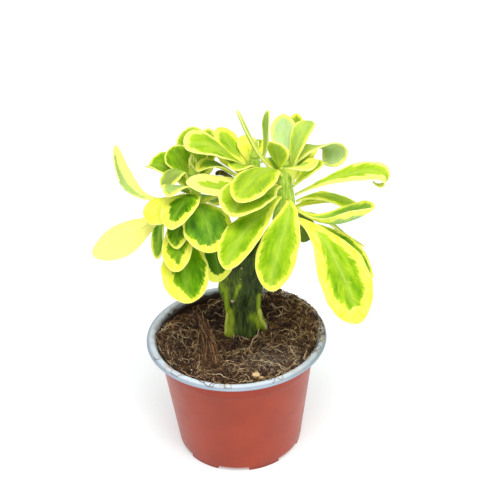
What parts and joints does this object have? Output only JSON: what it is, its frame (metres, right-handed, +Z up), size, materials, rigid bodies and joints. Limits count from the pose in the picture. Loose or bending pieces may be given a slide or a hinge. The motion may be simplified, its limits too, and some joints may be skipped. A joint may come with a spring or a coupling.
{
  "type": "potted euphorbia",
  "caption": "Potted succulent euphorbia: a short ribbed green trunk with three leafy shoots of yellow-edged spoon-shaped leaves, in a round nursery pot with soil.",
  "frame": {"origin": "middle of the pot's flat rest area on its underside", "axes": "+Z up along the pot's axis, +X to the plant's right and -Y to its front as pictured"},
  "size_m": [0.1876, 0.1324, 0.2462],
  "materials": {
    "pot": "satin terracotta-coloured moulded plastic, pale blue-grey inside and over the lip",
    "soil": "loose brown coir and peat fibres",
    "stem": "green succulent skin with leaf scars and pale ribs",
    "leaf": "fleshy satin leaf, green in the middle with irregular yellow edges",
    "young_leaf": "fleshy satin leaf, pale green"
  },
  "bodies": {
    "root": {"left_growing_tip": "young_leaf", "left_leaf_01": "leaf", "left_leaf_02": "leaf", "left_leaf_03": "leaf", "left_leaf_04": "leaf", "left_leaf_05": "leaf", "left_leaf_06": "leaf", "left_leaf_07": "leaf", "left_leaf_08": "leaf", "left_leaf_09": "leaf", "left_leaf_10": "leaf", "left_leaf_11": "leaf", "left_leaf_12": "leaf", "left_leaf_13": "leaf", "left_leaf_14": "leaf", "left_leaf_15": "leaf", "left_leaf_16": "leaf", "left_leaf_17": "leaf", "left_leaf_18": "leaf", "left_leaf_19": "leaf", "left_leaf_20": "leaf", "middle_growing_tip": "young_leaf", "middle_leaf_01": "leaf", "middle_leaf_02": "leaf", "middle_leaf_03": "leaf", "middle_leaf_04": "leaf", "middle_leaf_05": "leaf", "middle_leaf_06": "leaf", "middle_leaf_07": "leaf", "middle_leaf_08": "leaf", "middle_leaf_09": "leaf", "pot": "pot", "right_growing_tip": "young_leaf", "right_leaf_01": "leaf", "right_leaf_02": "leaf", "right_leaf_03": "leaf", "right_leaf_04": "leaf", "right_leaf_05": "leaf", "right_leaf_06": "leaf", "right_leaf_07": "leaf", "right_leaf_08": "leaf", "right_leaf_09": "leaf", "right_leaf_10": "leaf", "right_leaf_11": "leaf", "right_leaf_12": "leaf", "right_leaf_13": "leaf", "right_leaf_14": "leaf", "right_leaf_15": "leaf", "right_leaf_16": "leaf", "right_leaf_17": "leaf", "right_leaf_18": "leaf", "right_leaf_19": "leaf", "right_leaf_20": "leaf", "right_leaf_21": "leaf", "right_leaf_22": "leaf", "right_leaf_23": "leaf", "right_leaf_24": "leaf", "soil": "soil", "stem": "stem"}
  },
  "joints": []
}
